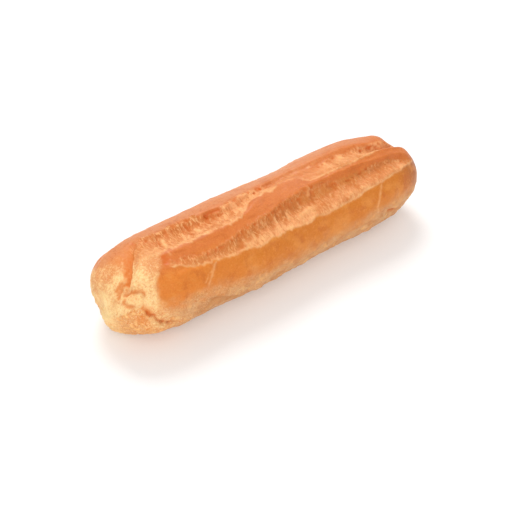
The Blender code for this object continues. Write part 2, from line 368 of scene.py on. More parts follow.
def furrow_masks():
    """How torn each point is, how high up the furrow, and how near the lower lip and the upper eaves."""
    torn, climb, lip, eaves = zeros(), zeros(), zeros(), zeros()
    for k, (low, high, opened) in enumerate(FURROWS):
        from_low = above(low) + tear(4 + 9 * k)
        from_high = above(high) + tear(7 + 9 * k)
        strength = level(opened)
        inside = soft_step(from_low, LOW_BLUR) * soft_step(-from_high, HIGH_BLUR) * strength
        torn = np.maximum(torn, inside)
        width = np.maximum(from_low - from_high, 1)
        climb = np.where(inside > 0.02, np.clip(from_low / width, 0, 1), climb)
        lip = np.maximum(lip, bell(from_low, LIP_WIDTH) * np.clip(strength * 2, 0, 1))
        eaves = np.maximum(eaves, bell(from_high + EAVES_BELOW, EAVES_WIDTH) * strength)
    return torn, climb, lip, eaves


torn, climb, lip, eaves = furrow_masks()
print("torn share of the crust:", round(float(torn.mean()), 2))

# %% [markdown]
# ## The pale end and the foot
# The end where the piping began was folded back on itself and stayed creamy. Under it a foot sticks
# out, the toe, and the foot along both sides stayed the colour of straw, because the tray shaded it.
# Where dough turns to skin the border is no tear but a patchy fade. So the soft step is wide, wider
# still where the photograph shows it, and a noise is added to its distance before the step is taken.

# %% Trace the borders of the pale dough
# the cream's border at each angle, as (angle, place) pairs
TOP_OF_THE_CHEEK = 62  # degrees, where the border on the wall meets the one on the top
WALL_END = [(62, -50.5), (57, -51.5), (52.5, -53.5), (44.5, -56), (33, -57.5), (24, -58), (15, -57.5),
            (8, -55), (0, -52.5), (-8, -51), (-14, -52), (-20, -57), (-28, -61)]
TOP_END = [(62, -50.5), (68, -49.5), (74, -47), (98, -48), (106, -53), (180, -53), (250, -61)]
# the line that the cream stays below on the back ridge, as (place, angle) pairs
CREAM_TOP = [(-69.9, 300), (-68.6, 245), (-67.6, 200), (-66.6, 155), (-65, 126), (-62, 117),
             (-57.5, 110), (-52, 106), (-49, 98), (-46, 78)]
CREAM_BLUR = 2.2
WIDER_BLUR = [  # millimetres more, past (1) or before (-1) an angle, easing over so many degrees
    (2.5, 1, 58, 20),
    (3.5, -1, 20, 12),
    (1.2, -1, 45, 15),
    (2.2, 1, 220, 40),
]
# the lines that the pale foot begins at, in front and behind, and then the upper rim of the toe
BROWN_FOOT = [(-60, 12), (-53, 9), (-47, 9), (-41, 10), (-35, 8), (-26, 3), (-8, -1), (10, -4), (32, -3),
              (39, 2), (45, 6), (52, 6), (58, 5), (64, 5)]
BACK_FOOT = [(-66, 176), (-40, 184), (0, 187), (40, 184), (66, 178)]
FOOT_BLUR, BACK_FOOT_BLUR = 9, 4.5
TOE_LINE = [(3.1, 8.7), (-3.4, 12.6), (-9.5, 17.6), (-12.6, 20.7), (-14, 21.5), (-14.7, 22),
            (-15.8, 18.4), (-16.3, 16.2), (-16.9, 14.8), (-17.4, 12.5), (-18, 10.8)]  # depth and height
TOE_END = -48
ends = [place for _, place in WALL_END + TOP_END]
print("the cream ends between", min(ends), "and", max(ends), "mm along")

# %% Find the cream, the foot and the toe


def place_of_border(border):
    """How far along a border lies at each point's own angle, from (angle, place) pairs."""
    angles, places = zip(*sorted(border))
    return np.interp(around, angles, places)


def cream_end():
    """The pale folded dough of the near end."""
    on_the_wall = around < TOP_OF_THE_CHEEK
    border = np.where(on_the_wall, place_of_border(WALL_END), place_of_border(TOP_END))
    wander = 0.5 * rough((2.5, 2.5, 2.5), 13) + 0.35 * rough((1.1, 1.1, 1.1), 17)
    blur = CREAM_BLUR + sum(more * soft_step(way * (around - angle), width)
                            for more, way, angle, width in WIDER_BLUR)
    ahead = soft_step(border - along + wander, blur)
    towards_the_back = soft_step(around - 140, 50)
    below_the_ridge = -above(CREAM_TOP) + (3 + 5 * towards_the_back) * wander
    below_the_ridge = soft_step(below_the_ridge, 3.5 + 16 * towards_the_back)
    below_the_ridge = np.maximum(below_the_ridge, soft_step(around - 230, 50))
    return ahead * np.where(around > 90, below_the_ridge, 1)


def pale_foot():
    """The pale dough low on both sides and underneath, which the tray kept from browning."""
    wander = 1.6 * rough((6, 3, 3), 21) + 0.9 * rough((1.8, 1.6, 1.6), 23)
    front = soft_step(-above(BROWN_FOOT) + wander, FOOT_BLUR)
    behind = soft_step(above(BACK_FOOT) + wander, BACK_FOOT_BLUR)
    return np.where(around < 90, front, behind)


def toe_of_the_end():
    """The foot that sticks out under the folds of the near end, fading towards the back."""
    depths, heights = zip(*sorted(TOE_LINE))
    below_the_rim = np.interp(points[:, 1], depths, heights) - points[:, 2]
    below_the_rim = soft_step(below_the_rim + 0.4 * rough((1.5, 1.5, 1.5), 27), 1.2)
    near_the_end = soft_step(TOE_END - along + rough((3, 3, 3), 28), 9)
    return below_the_rim * near_the_end * (1 - 0.85 * soft_step(points[:, 1] + 5, 7))


cream = cream_end()
foot = pale_foot()
toe = toe_of_the_end()
print("cream share:", round(float(cream.mean()), 2), "foot share:", round(float(foot.mean()), 2))

# %% [markdown]
# ## Relief
# Torn choux is stringy: wet dough stretched across the furrow and set. So its strands are noise that is
# short along the baton and long across it. The noise reads the crust as if it were rolled out flat,
# because only then do strands run round the baton. Under the upper edge the dough tore into bays,
# which are darkened further down with painted shade.
# The brown skin is nearly smooth, the foot is crinkled, and the pale end is doughy.

# %% Work out the relief
STRAND = 0.2  # heights in millimetres
CRUMB = 0.2
BAY = 0.4
LIP_RISE = 0.16
SKIN = 0.06
DOUGH = 0.09
FOOT = 0.3

arc = np.radians(around) * reach
rolled_out = np.stack([along + 0.5 * sway, arc, zeros()], axis=1)


def torn_bays():
    """Hollows that the dough left under a furrow's upper edge, fewer towards the far end."""
    bays = np.clip(rough((3.0, 6, 1), 61, rolled_out) * 1.6 + 0.1, 0, 1)
    return bays * soft_step(climb - 0.6, 0.5) * torn * (1 - 0.75 * soft_step(along - 32, 16))


def furrow_relief():
    strands = 1 - np.abs(rough((1.3, 5, 1), 33, rolled_out)) * 2
    patches = (0.6 + 0.4 * rough((6, 6, 6), 35)) * (1 - 0.4 * soft_step(along - 10, 20))
    crumb = rough((1.3, 1.9, 1), 37, rolled_out)
    return torn * (STRAND * strands * patches + CRUMB * crumb) - BAY * bays


def lip_relief():
    flake = 0.6 + 0.5 * rough((3.5, 12, 12), 41)
    return LIP_RISE * lip * np.clip(flake, 0, 1.2)


def skin_relief():
    skin = (1 - torn) * (1 - cream) * (1 - foot)
    return SKIN * skin * (rough((3.5, 3, 3), 43) + 0.5 * rough((1.3, 1.3, 1.3), 44))


def dough_relief():
    return DOUGH * cream * (0.6 * rough((3, 3, 3), 51) + rough((1.3, 1.3, 1.3), 52))


def foot_relief():
    crinkles = rough((4.5, 2.6, 1.8), 55) + 0.35 * rough((1.6, 1.6, 1.2), 56)
    return FOOT * np.maximum(foot, 0.7 * toe) * soft_step(points[:, 2] - 0.6, 1) * crinkles


bays = torn_bays()
relief = furrow_relief() + lip_relief() + skin_relief() + dough_relief() + foot_relief()
print("rolled out, the crust is", round(arc.max() - arc.min()), "mm round")
print("relief from", round(relief.min(), 2), "to", round(relief.max(), 2), "mm")

# %% [markdown]
# ## Folds and gashes
# Some marks are known one by one: the small arch on the near end, the crevice above its toe, and the
# dark gashes in the top furrow. Each is a path on the crust with a depth, a width and a darkness. The
# darkness is partly the crust's own red-brown and partly painted shade in the groove. A path is
# quicker to place and to mend than a sculpted stroke, and it moves with the numbers.

# %% Cut the folds
ARCH = [(-66.2, -7.0, 22.9), (-64.6, -7.9, 23.5), (-63.8, -8.7, 24.6), (-63.0, -10.5, 25.7),
        (-61.6, -11.5, 25.7), (-61.2, -12.6, 25.3), (-61.7, -13.4, 24.4)]
UNDER_THE_ARCH = [(-66.2, -8.4, 22.9), (-67.2, -9.1, 21.8), (-66.9, -10.5, 21.6), (-65.1, -13.2, 22.0),
                  (-63.5, -14.0, 22.6)]
FOLDS = {  # path, depth, width, darkness
    "arch": (ARCH, 0.35, 0.55, 0.1),
    "under_the_arch": (UNDER_THE_ARCH, 0.3, 0.6, 0.1),
    "crevice": ([(-63.0, -14.9, 20.8), (-61.6, -15.6, 18.3), (-59.9, -16.1, 17.3), (-58.9, -16.9, 15.1),
                 (-56.1, -17.5, 13.5), (-52.4, -17.5, 11.6)], 0.9, 0.45, 0.62),
    "cheek": ([(-49.8, 56), (-49.0, 62), (-48.7, 69)], 0.3, 1.4, 0.75),
    "near_gash": ([(-44.4, 104), (-45.2, 92), (-46, 77)], 0.65, 0.42, 0.4),
    "deep_gash": ([(-33.2, 104), (-32, 98), (-32.6, 88), (-32.4, 79)], 0.8, 0.42, 0.42),
    "deep_hollow": ([(-32.6, 102), (-31.4, 97), (-31.2, 92)], 0.5, 0.7, 0.5),
    "middle_gash": ([(-24.2, 101), (-23.6, 98.5), (-23.3, 95)], 1.0, 0.65, 1.0),
    "trail_of_the_gash": ([(-23.2, 100.5), (-21.6, 100.5), (-19.8, 99), (-17.0, 98.5)], 0.6, 0.5, 0.85),
    "far_gash": ([(1.0, 110), (2.1, 107), (2.6, 104)], 0.6, 0.7, 0.9),
    "last_gash": ([(49.5, 1.6, 33.0), (51.5, 0.4, 32.4)], 0.6, 0.7, 0.8),
    "far_tuck": ([(46.8, -16.5, 13.4), (49.2, -16.1, 12.9), (53.0, -15.0, 11.5)], 0.8, 0.65, 0.72),
}
path_strays = 0.25 * rough((1.2, 1.2, 1.2), 71)


def fold_masks():
    """The depth that the folds cut, and how dark they are."""
    cut, dark = zeros(), zeros()
    for path, depth, width, darkness in FOLDS.values():
        on_it = path_mask(path, width, path_strays)
        cut = np.maximum(cut, depth * on_it)
        # darkness: painted shade in each fold and gash, partly the crust's own red-brown
        dark = np.maximum(dark, darkness * on_it)
    return cut, dark


cut, dark = fold_masks()
relief = relief - cut
print("folds cut to", round(cut.max(), 2), "mm")

# %% [markdown]
# ## Ribs, threads and cracks
# Membranes and threads of dough span the furrows, and fine pale cracks cross the wall, where the skin
# split late and baked less. They are paths too, but they stand out instead of cutting in. The finest
# are broken by a noise, because no real thread runs on whole.

# %% Raise the ribs
FINE = 0.4  # a rib narrower than this is broken
RIBS = {  # path, height, width, paleness
    "blob": ([(-65.6, -10.4, 23.2), (-64.6, -11.6, 23.9), (-63.4, -12.4, 24.4)], 0.35, 0.9, 0.35),
    "foot_rim": ([(-69.0, 3.1, 8.7), (-69.7, -3.4, 12.6), (-68.9, -9.5, 17.2), (-67.3, -11.9, 18.0)],
                 0.3, 0.8, 0.0),
    "near_membrane": ([(-43.3, 98), (-44.2, 86), (-44.8, 78)], 0.35, 0.8, 1.0),
    "middle_membrane": ([(-30.6, 93), (-30, 85), (-29.4, 79)], 0.35, 0.9, 1.0),
    "far_membrane": ([(37, 98), (38.5, 88)], 0.3, 0.8, 0.9),
    "near_crack": ([(-31.0, 40), (-31.8, 38), (-33.5, 34), (-34.6, 29), (-36.2, 24), (-37.5, 20),
                    (-38.5, 15)], 0.1, 0.4, 0.5),
    "branch_of_the_crack": ([(-34.6, 29), (-36.5, 28), (-38.5, 22), (-41, 17)], 0.08, 0.3, 0.4),
    "far_crack": ([(44.4, 36), (43.6, 31), (42.4, 23.5), (41.5, 15.6), (40.8, 7), (41.0, -1)],
                  0.08, 0.45, 0.45),
    "border_of_the_cheek": ([(-46.2, 70), (-46.4, 63), (-48.2, 54.4), (-47, 49)], 0.08, 0.38, 0.45),
    "furrow_thread_one": ([(10.3, 60), (10.4, 54), (9.1, 45)], 0.3, 0.4, 0.8),
    "furrow_thread_two": ([(-1.8, 57), (-2.4, 52), (-2.8, 45)], 0.3, 0.4, 0.8),
    "furrow_thread_three": ([(4.1, 54), (3.3, 46), (2.3, 40)], 0.3, 0.4, 0.8),
    "furrow_thread_four": ([(-14.6, 52), (-14.6, 44), (-14.7, 37)], 0.25, 0.4, 0.7),
    "furrow_thread_five": ([(-18.1, 46), (-18.8, 38)], 0.25, 0.4, 0.7),
    "nub": ([(16.9, 69), (16.1, 60)], 0.5, 0.8, 0.8),
    "tongue_of_the_wall": ([(6, 38), (8.5, 41), (11, 43.4), (13.1, 44.5), (15.3, 42)], 0.4, 1.1, 0.6),
    "thread_one": ([(6, 103), (9.9, 103), (15, 105.5), (22.9, 104), (29.9, 105.5)], 0.1, 0.28, 0.5),
    "thread_two": ([(16.9, 109), (21, 101), (26.3, 105)], 0.1, 0.28, 0.45),
    "thread_three": ([(17, 86), (19, 78), (24, 75.5), (31, 74)], 0.15, 0.35, 0.7),
}


def rib_masks():
    """The height of the ribs, and how pale they are."""
    rise, pale = zeros(), zeros()
    broken = soft_step(rough((1.6, 1.6, 1.6), 73) + 0.2, 0.5)
    for path, height, width, paleness in RIBS.values():
        on_it = path_mask(path, width, path_strays) * (broken if width < FINE else 1)
        rise = np.maximum(rise, height * on_it)
        pale = np.maximum(pale, paleness * on_it)
    return rise, pale


rise, pale = rib_masks()
relief = relief + rise
print("ribs raised to", round(rise.max(), 2), "mm")

# %% [markdown]
# ## Laps
# At the crease, the crevice and the tucks the dough on one side laps over the dough on the other. A
# groove can't show that, so the surface steps: it rises towards the path on its left, drops sharply,
# and climbs back slowly on its right. The dough under a lap is a band of rust or of shaded brown.

# %% Fold the laps
LAPS = {  # path, height, width of the band beside it, its rust and how brown it is
    "crease": ([(-51.0, 5.2, 31.8), (-53.3, 3.8, 30.8), (-55.8, 1.4, 29.6), (-58.1, -1.8, 28.7),
                (-60.7, -4.9, 27.6), (-62.6, -7.0, 25.9), (-63.2, -7.3, 25.2)], 0.5, 3.2, 1.0, 0.0),
    "crease_end": ([(-63.6, -5.0, 26.3), (-64.6, -5.6, 25.6), (-65.5, -5.8, 24.4), (-67.0, -6.6, 22.7),
                    (-68.2, -6.4, 21.8)], 0.35, 2.3, 0.85, 0.0),
    "side_tuck": ([(-41.5, -18.8, 12.4), (-40.0, -18.8, 13.6), (-38.6, -18.6, 14.5),
                   (-36.3, -18.5, 15.1), (-33.5, -18.6, 14.5), (-30.0, -18.2, 12.3),
                   (-25.6, -17.6, 10.5), (-20.9, -16.7, 8.4)], 0.7, 4.2, 0.0, 0.9),
    "crevice_end": ([(-58.9, -16.9, 15.1), (-56.1, -17.5, 13.5), (-52.4, -17.5, 11.7),
                     (-49.9, -17.5, 10.3), (-47.7, -17.9, 9.8), (-46.0, -18.0, 9.6)], 0.4, 1.5, 0.0, 0.3),
    "far_tuck": ([(45.8, -16.6, 12.6), (47.6, -16.2, 13.0), (49.4, -16.1, 12.9), (51.9, -15.4, 12.2),
                  (54.0, -14.6, 11.0)], 0.3, 1.6, 0.0, 0.9),
}
LAP_EDGE = 0.8  # over how many millimetres the surface drops
LAP_REACH = 8  # a lap moves nothing further off than this


def lap_masks():
    """How far each point moves for the laps, and the rust and brown of the bands under them."""
    lap, rusty, tucked = zeros(), zeros(), zeros()
    strays = 0.35 * rough((2.2, 2.2, 2.2), 91) + 0.2 * rough((1.0, 1.0, 1.0), 92)
    for path, height, width, rustiness, brownness in LAPS.values():
        away, share, side = near_path(path)
        beside = away * side + strays
        ends = np.clip(np.minimum(share, 1 - share) * 5 + 0.2, 0, 1)
        upper = soft_step(beside, LAP_EDGE) * np.exp(-np.abs(beside) / 3)
        lower = soft_step(-beside, LAP_EDGE) * bell(beside, 2.2)
        lap = np.where(away < LAP_REACH, lap + height * ends * (upper - lower), lap)
        reached = soft_step(0.2 - beside, 0.7) * soft_step(beside + width + 2 * strays, 2.0)
        band = reached * np.clip(ends * 1.5, 0, 1)
        rusty = np.maximum(rusty, rustiness * band)
        tucked = np.maximum(tucked, brownness * band)
    return lap, rusty, tucked


lap, rusty, tucked = lap_masks()
relief = relief + lap
print("laps from", round(lap.min(), 2), "to", round(lap.max(), 2), "mm")

# %% [markdown]
# ## Hollows of the front furrow
# Up the wall of the front furrow the dough tore away in hollows between the strands, and it baked
# browner inside them. Each is a soft dent at a place, wider across the furrow than along it, with an
# outline that a noise makes uneven. The browning raises the mask of the climb, which the colour reads.

# %% Sink the hollows
HOLLOWS = {  # place along and around, then the size along and across and the depth, in millimetres
    (8.2, 57): (1.9, 2.8, 0.45), (3.4, 53): (1.7, 2.0, 0.4), (-0.5, 53.5): (1.3, 2.0, 0.4),
    (-5, 51.5): (1.3, 2.0, 0.4), (-8.6, 49.5): (1.2, 1.6, 0.3), (-12.6, 48): (1.0, 1.6, 0.3),
    (-17.7, 49): (0.9, 1.8, 0.3), (-20.8, 38): (0.8, 1.8, 0.3), (13.5, 61): (2.0, 2.2, 0.3),
    (17.8, 57): (2.6, 2.8, 0.4), (22.5, 58): (2.6, 2.4, 0.3),
}
BROWNEST_CLIMB = 1.05


def hollow_masks():
    """The depth of the hollows, and how baked they are."""
    sunk, browned = zeros(), zeros()
    strays = 0.5 * rough((1.5, 1.5, 1.5), 95)
    for (place, angle), (length, width, depth) in HOLLOWS.items():
        across = np.radians(around - angle) * reach
        away = np.maximum(np.hypot((along - place) / length, across / width) + strays * 0.4, 0)
        sunk = np.maximum(sunk, depth * bell(away, 1) * torn)
        browned = np.maximum(browned, bell(away, 1.1) * torn)
    return sunk, browned


sunk, browned = hollow_masks()
relief = relief - sunk
climb = climb + (BROWNEST_CLIMB - climb) * browned
print("hollows sunk to", round(sunk.max(), 2), "mm")

# %% [markdown]
# ## Pits
# Steam left small dark holes, a few of them large enough to be known, and the rest strewn under the
# furrows' upper edges. A noise that is cut off high leaves only such scattered spots. Pits, gashes and
# bays together make the mask of what is dark, which paints shade into these hollows and is partly the
# crust's own red-brown.

# %% Prick the pits
PITS = [(-52.3, 115), (-50, 108), (-48.5, 104), (-33.9, 76), (-26, 88), (-24.4, 94), (-19, 93), (3, 110),
        (39, 92), (50.8, 93), (33, 96)]
PIT_WIDTH, PIT_DEPTH = 0.55, 0.4  # in millimetres


def pit_mask():
    """Small dark holes, some known and some strewn under the furrows' upper edges."""
    strewn = soft_step(rough((1.5, 1.5, 1.5), 81) - 0.45, 0.3) * eaves
    known = zeros()
    for pit in PITS:
        known = np.maximum(known, bell(np.linalg.norm(points - on_crust(pit), axis=1), PIT_WIDTH))
    return np.maximum(strewn, known)


pits = pit_mask()
relief = relief - PIT_DEPTH * pits
# painted shade: pits, gashes and bays are darkened, partly with the crust's own red-brown
dark = np.maximum.reduce([1.25 * dark, 0.8 * pits, 0.45 * bays])
print("pits on", round(float((pits > 0.5).mean() * 100), 1), "% of the crust")

# %% [markdown]
# ## Rust
# Where the near end is folded, it baked to a rusty orange: along the crease and the arch, and beside
# the crevice. Painting by hand would need an unwrapped picture, so these bands are paths as well,
# wide ones with a wandering border, joined with the bands under the laps. They don't shape the crust.

# %% Lay the rust
RUST = {  # path, width, strength
    "crease_top": ([(-51.5, 113), (-55.5, 109), (-60, 107), (-62.5, 104)], 3.4, 0.75),
    "arch": (ARCH, 0.7, 0.85),
    "under_the_arch": (UNDER_THE_ARCH[:-1], 0.7, 0.75),
    "triangle": ([(-63.8, -14.3, 22.1), (-62.1, -15.4, 20.6), (-60.5, -15.9, 18.4)], 1.2, 0.8),
    "under_the_triangle": ([(-64.9, -14.5, 18.8), (-63.6, -15.5, 17.4), (-65.8, -13.7, 15.6)], 2.0, 0.55),
    "shoulder": ([(-55.2, 108), (-52.5, 100), (-50.5, 96)], 1.2, 0.5),
}
rust_strays = 0.5 * rough((2.2, 2.2, 2.2), 87) + 0.35 * rough((1.0, 1.0, 1.0), 89)
rust = rusty
for path, width, strength in RUST.values():
    rust = np.maximum(rust, strength * path_mask(path, width, rust_strays * min(width, 1)))
print("rust on", round(float((rust > 0.3).mean() * 100), 1), "% of the crust")

# %% [markdown]
# ## Shades along the baton
# The oven wasn't even. Both ends of the front furrow and the far end of the top one are more of one
# shade than their middles, the middle of the top furrow is palest, and so are patches of the lips. On
# the far end of the front furrow the upper wall is pulled lighter than the rest, which is painted light
# against the shade there. The near end is rosy above, and a yellow band along its rim is a painted
# highlight. Each of these is a gentle pull on a mask, over a stretch of the baton, because a noise
# alone would spread the shades evenly.

# %% Even out and tint the shades
PALE_STRETCH = [(-24, 0.2), (-12, 1), (4, 1), (12, 0.6), (30, 0.7), (60, 0.6)]
RIM_HIGHLIGHT_PATH = [(-68.5, 5, 8), (-69.4, 1, 10.5), (-69.7, -3.4, 13), (-69.8, -1, 17), (-69.9, 2, 22)]
RIM_WIDTH = 3.0

pale = np.maximum(pale, lip * (0.5 + 0.5 * rough((2.2, 5, 5), 85)))
front_furrow = soft_step(68 - around, 4)
near_stretch = soft_step(-24 - along, 10) * front_furrow
far_stretch = soft_step(along - 12, 10) * front_furrow
top_far_stretch = soft_step(along - 28, 14) * soft_step(around - 70, 4) * soft_step(112 - around, 4)
climb = climb + (0.6 - climb) * 0.7 * near_stretch
# on the far end of the front furrow the upper wall is pulled lighter: painted light against the shade there
climb = climb + (0.58 - climb) * np.where(climb > 0.58, 0.9, 0.5) * far_stretch
climb = climb + (0.42 - climb) * 0.8 * top_far_stretch
climb = climb * (1 - 0.8 * level(PALE_STRETCH) * soft_step(around - 80, 8))

rosy = 0.62 * soft_step(along + 57, 6) * soft_step(around - 50, 20)
rosy = rosy + 0.5 * soft_step(around - 88, 26) * soft_step(150 - around, 40)
rosy = rosy + 0.3 * soft_step(along + 60, 5) * soft_step(16 - around, 12)
# painted highlight: the yellow band along the rim of the near end
rim_highlight = path_mask(RIM_HIGHLIGHT_PATH, RIM_WIDTH, rust_strays)
print("mean climb in the furrows:", round(float((climb * torn).sum() / torn.sum()), 2))

# %% [markdown]
# ## Push the relief out
# The points move along their normals, as a sculptor's brush moves them. The result is then drawn to
# the box of the solid, so that the dressed eclair is exactly as large as the solid one, and the flat
# base stays on the table.

# %% Move the points
FLAT = 0.05  # a point lower than this, in millimetres, belongs to the flat base


def fit_to_box(moved):
    lowest, highest = moved.min(axis=0), moved.max(axis=0)
    low, high = (np.array(corner) / MM for corner in cad_box)
    return low + (moved - lowest) * (high - low) / (highest - lowest)


def write_points(mesh, points):
    mesh.vertices.foreach_set("co", (points * MM).ravel())
    mesh.update()


on_base = points[:, 2] < FLAT
moved = points + np.where(on_base, 0, relief)[:, None] * normals
moved[:, 2] = np.where(on_base, points[:, 2], np.maximum(moved[:, 2], 0))
write_points(shell.data, fit_to_box(moved))
print("moved", int((~on_base).sum()), "points")

# %% [markdown]
# ## Masks for the material
# The material has to know what the relief knows: where the crust is torn, creamy, rusty or dark. Each
# mask is stored on the mesh as an attribute, one number a point, and a node reads it by its name. The
# attributes travel with the mesh, so no picture has to be painted or unwrapped.

# %% Keep the masks on the mesh
MASKS = {
    "torn": torn,
    "climb": climb,
    "cream": cream,
    "foot": foot,
    "toe": toe,
    "dark": dark,
    "pale": pale,
    "rust": rust,
    "rosy": rosy,
    "rim_highlight": rim_highlight,
    "tucked": tucked,
    "turn": around / 180,
}
for name, values in MASKS.items():
    stored = shell.data.attributes.new(name, "FLOAT", "POINT")
    stored.data.foreach_set("value", np.clip(values, 0, 1).astype(np.float32))
print("masks:", ", ".join(MASKS))

# %% [markdown]
# ## Writing a material as sums
# A node material is easier to read as arithmetic. This small class wraps one output of the node tree,
# and every sum with it adds the Math node that does it.

# %% Wrap the shader's sockets


class Field:
    """One output of a node tree that takes part in Python sums."""

    def __init__(self, tree, output=None):
        self.tree = tree
        self.output = output

    def node(self, kind, settings=None, inputs=None, out=0):
        """Adds a node: its settings first, then its sockets' values or links."""
        made = self.tree.nodes.new(kind)
        for name, value in (settings or {}).items():
            setattr(made, name, value)
        for name, value in (inputs or {}).items():
            if isinstance(value, Field):
                self.tree.links.new(value.output, made.inputs[name])
            else:
                made.inputs[name].default_value = value
        return Field(self.tree, made.outputs[out])

    def math(self, operation, *values):
        return self.node("ShaderNodeMath", {"operation": operation}, dict(enumerate(values)))

    def __add__(self, other):
        return self.math("ADD", self, other)

    def __sub__(self, other):
        return self.math("SUBTRACT", self, other)

    def __rsub__(self, other):
        return self.math("SUBTRACT", other, self)

    def __mul__(self, other):
        return self.math("MULTIPLY", self, other)

    def size(self):
        return self.math("ABSOLUTE", self)

    __radd__ = __add__
    __rmul__ = __mul__


MIX_FACTOR, MIX_A, MIX_B, MIX_COLOUR = 0, 6, 7, 2  # sockets of the Mix node when it mixes colours


def mix(first, second, factor):
    """A colour between two, by a factor from 0 to 1."""
    maker = next(part for part in (factor, first, second) if isinstance(part, Field))
    inputs = {MIX_FACTOR: factor, MIX_A: first, MIX_B: second}
    return maker.node("ShaderNodeMix", {"data_type": "RGBA"}, inputs, MIX_COLOUR)


def ease(value, start, end):
    """0 at the start and 1 at the end, smoothly between."""
    inputs = {"Value": value, "From Min": start, "From Max": end}
    return value.node("ShaderNodeMapRange", {"interpolation_type": "SMOOTHSTEP"}, inputs)


print("sums on sockets: +, -, * and size(); blends: mix() and ease()")

# %% [markdown]
# ## The crust's node tree
# One material covers the whole shell, because a baked crust has no seams: skin, crumb and dough fade
# into each other. All its grains are noises on Object coordinates, so they keep their size in
# millimetres and stay where they are on the crust. Some grains serve several finishes.

# %% Start the crust
material = bpy.data.materials.new("baked_crust")
material.use_nodes = True
tree = material.node_tree
shader = tree.nodes["Principled BSDF"]
start = Field(tree)
place = start.node("ShaderNodeTexCoord", out="Object")
far = start.node("ShaderNodeSeparateXYZ", None, {"Vector": place}, "X")
height_above = Field(tree, far.output.node.outputs["Z"])


def mask(name):
    return start.node("ShaderNodeAttribute", {"attribute_name": name}, out="Fac")


def speckle(size, detail=3, stretch=(1, 1, 1), where=place):
    """Noise from 0 to 1 with grains of a size in millimetres."""
    inputs = {"Vector": where, "Scale": tuple(s / (size * MM) for s in stretch)}
    scaled = start.node("ShaderNodeMapping", {"vector_type": "POINT"}, inputs)
    return start.node("ShaderNodeTexNoise", None, {"Vector": scaled, "Scale": 1, "Detail": detail})


def spots(size, outside, inside, detail=3):
    """Soft spots: 0 where the noise is at the outside value, 1 where it is at the inside one."""
    return ease(speckle(size, detail), outside, inside)


def along_from(start_mm, end_mm):
    """0 to 1 between two places along the baton, in millimetres."""
    return ease(far, start_mm * MM, end_mm * MM)


turn = mask("turn")


def round_from(start_degrees, end_degrees):
    """0 to 1 between two angles round the baton."""
    return ease(turn, start_degrees / 180, end_degrees / 180)


near = along_from(20, -40)  # 1 on the near half, where the photograph shows the grain more strongly
grain = speckle(0.6, 5)
grit = speckle(0.6, 3)
crackle = speckle(0.45, 4)
print("nodes so far:", len(tree.nodes))

# %% [markdown]
# ## The brown skin
# The skin is golden orange on the front wall, redder brown on the middle ridge and a rosy tan on the
# back ridge, and the far tip is darkest. Over these broad shades lie browner clouds, golden flecks,
# streaks along the middle ridge and, on the back ridge, the dark dots of burst bubbles. One noise
# could tint it all, but grains of several sizes over each other look less printed.

# %% Colour the skin
WALL_NEAR = (0.675, 0.195, 0.022, 1)
WALL_FAR = (0.605, 0.178, 0.014, 1)
WALL_TIP = (0.375, 0.094, 0.008, 1)
RIDGE_BROWN = (0.61, 0.165, 0.03, 1)
BACK_TAN = (0.635, 0.225, 0.077, 1)
DEEP_BROWN = (0.50, 0.115, 0.012, 1)
GOLD = (0.72, 0.27, 0.05, 1)
MIDDLE_RIDGE = 0.4  # its angle as a share of 180 degrees


def brown_skin():
    skin = mix(WALL_NEAR, WALL_FAR, along_from(-48, -5))
    skin = mix(skin, WALL_TIP, along_from(50, 68))
    skin = mix(skin, RIDGE_BROWN, round_from(40, 58))
    skin = mix(skin, BACK_TAN, round_from(90, 118) * (1 - along_from(25, 60) * 0.45))
    skin = mix(skin, GOLD, spots(7, 0.48, 0.68) * round_from(52, 38) * 0.6)
    skin = mix(skin, DEEP_BROWN, spots(4.5, 0.5, 0.7) * 0.5)
    bubbles = spots(1.0, 0.46, 0.3, 4) * round_from(80, 105)
    skin = mix(skin, DEEP_BROWN, bubbles * (near * 0.4 + 0.4))
    streaks = ease(speckle(1.8, 3, (0.25, 1, 1)), 0.5, 0.72)
    skin = mix(skin, DEEP_BROWN, streaks * ease((turn - MIDDLE_RIDGE).size(), 0.12, 0.03) * 0.7)
    skin = mix(skin, GOLD, ease(grain, 0.5, 0.7) * 0.3)
    skin = mix(skin, DEEP_BROWN, ease(grain, 0.5, 0.3) * 0.3)
    return mix(skin, GOLD, spots(1.3, 0.56, 0.7, 2) * round_from(52, 36) * 0.4)


skin = brown_skin()
print("nodes with the skin:", len(tree.nodes))

# %% [markdown]
# ## The torn crumb
# Torn crumb goes from pale cream at its lower lip to brown at the top of its wall, but not in bands:
# tongues of each shade lick into the next. So noises are added to the climb before it is turned into
# colour. Those noises are stretched across the furrow and read bent coordinates, which makes the
# fibres wavy. Fine dark and pale fibres, and a few pale threads, come last.

# %% Colour the crumb
CRUMB_PALE = (0.79, 0.36, 0.145, 1)
CRUMB_TAN = (0.67, 0.25, 0.083, 1)
CRUMB_BROWN = (0.58, 0.18, 0.04, 1)
CRUMB_DARK = (0.50, 0.14, 0.025, 1)
PALE_LIP = (0.88, 0.48, 0.20, 1)
BEND_WAVE = 2.6 * MM  # the wavelength of the bends in the fibres, and how far they bend
BEND = (1.7 * MM,) * 3
ACROSS = (1, 0.3, 0.3)  # three times longer across the furrow than along it

swirl = start.node("ShaderNodeTexNoise", None, {"Vector": place, "Scale": 1 / BEND_WAVE}, "Color")
bent = start.node("ShaderNodeVectorMath", {"operation": "MULTIPLY_ADD"}, {0: swirl, 1: BEND, 2: place})
fibres = speckle(0.5, 3, ACROSS, bent)


